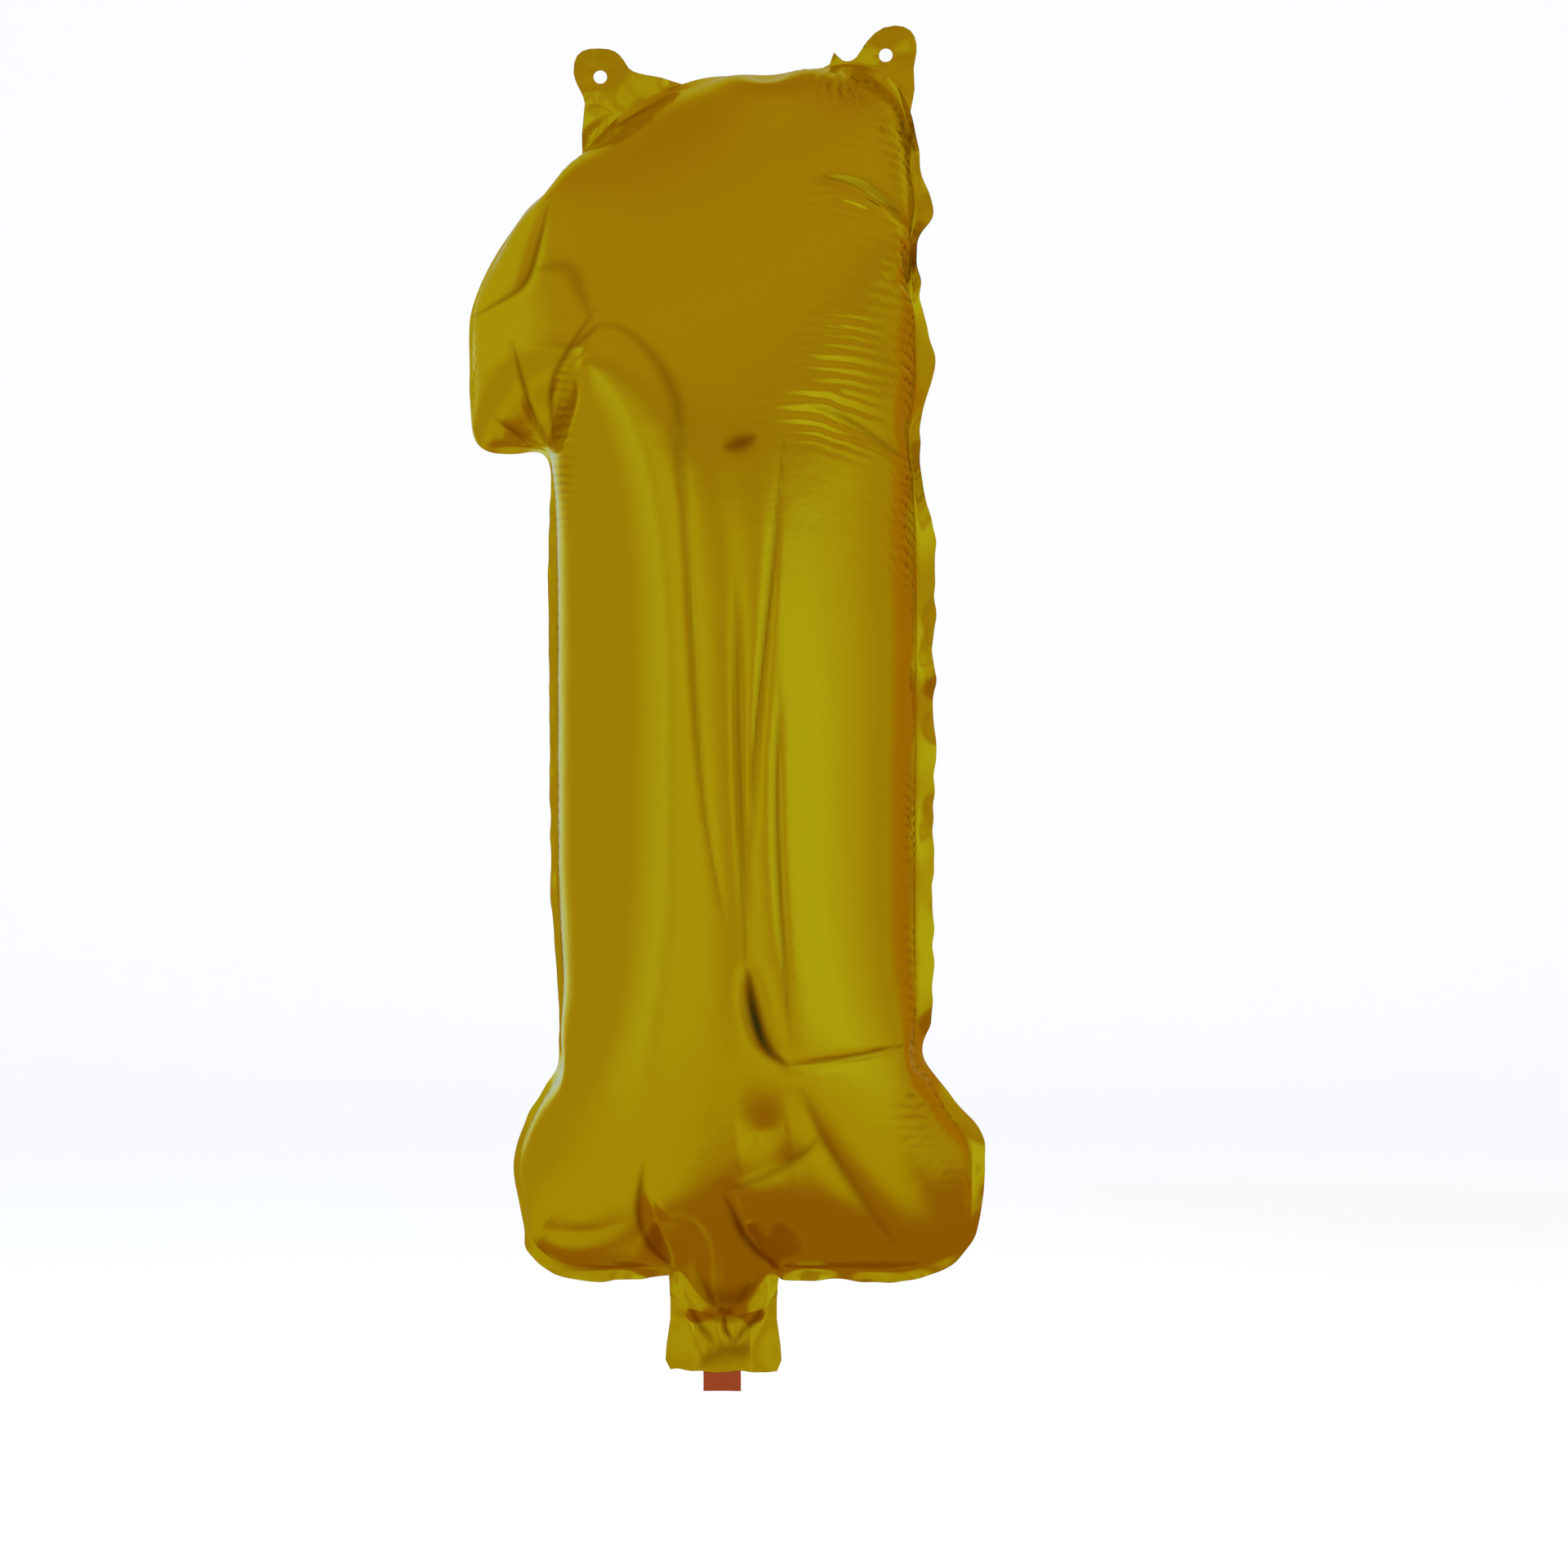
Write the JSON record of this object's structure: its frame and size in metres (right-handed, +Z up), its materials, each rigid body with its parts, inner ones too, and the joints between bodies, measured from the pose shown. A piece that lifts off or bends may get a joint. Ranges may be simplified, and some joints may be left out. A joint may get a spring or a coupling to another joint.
{
  "type": "foil number balloon",
  "caption": "Inflated metallic foil balloon in the shape of the digit one, with hanging tabs, a flat filling neck and a film valve.",
  "frame": {"origin": "halfway between the centres of the two hanging holes, in the plane of the seal", "axes": "+X to the right as the digit is read, +Z up along the stem, the digit is read from -Y"},
  "size_m": [0.1503, 0.096, 0.3992],
  "materials": {
    "gold_foil": "metallised film, mirror bright with a slight orange peel",
    "valve_film": "thin translucent orange film"
  },
  "bodies": {
    "envelope": {"front_panel": "gold_foil", "back_panel": "gold_foil", "valve_front_film": "valve_film", "valve_back_film": "valve_film"},
    "left_tab": {"left_tab_front_ply": "gold_foil", "left_tab_back_ply": "gold_foil"},
    "right_tab": {"right_tab_front_ply": "gold_foil", "right_tab_back_ply": "gold_foil"},
    "neck": {"neck_front_ply": "gold_foil", "neck_back_ply": "gold_foil", "neck_valve_front_film": "valve_film", "neck_valve_back_film": "valve_film"},
    "front_lip": {"mouth_front_lip": "valve_film"},
    "back_lip": {"mouth_back_lip": "valve_film"}
  },
  "joints": [
    {"name": "left_tab_fold", "type": "hinge", "parent": "envelope", "child": "left_tab", "pos_m": [-0.03705, 0, -0.01075], "axis": [0.805, 0, 0.5933], "range_deg": [-90, 90], "stiffness_Nm_per_rad": 0.0001},
    {"name": "right_tab_fold", "type": "hinge", "parent": "envelope", "child": "right_tab", "pos_m": [0.0403, 0, -0.0016], "axis": [0.9949, 0, -0.1005], "range_deg": [-90, 90], "stiffness_Nm_per_rad": 0.0001},
    {"name": "neck_fold", "type": "hinge", "parent": "envelope", "child": "neck", "pos_m": [-0.0054, 0, -0.364], "axis": [1, 0, 0], "range_deg": [-90, 90], "stiffness_Nm_per_rad": 0.0002},
    {"name": "mouth_front_lip_open", "type": "hinge", "parent": "neck", "child": "front_lip", "pos_m": [-0.0061, -0.0003, -0.3834], "axis": [-1, 0, 0], "range_deg": [0, 35], "stiffness_Nm_per_rad": 0.000001},
    {"name": "mouth_back_lip_open", "type": "hinge", "parent": "neck", "child": "back_lip", "pos_m": [-0.0061, 0.0003, -0.3834], "axis": [-1, 0, 0], "range_deg": [-35, 0], "stiffness_Nm_per_rad": 0.000001}
  ],
  "couplings": [
    {"joint": "mouth_back_lip_open", "follows": "mouth_front_lip_open", "ratio": -1}
  ]
}
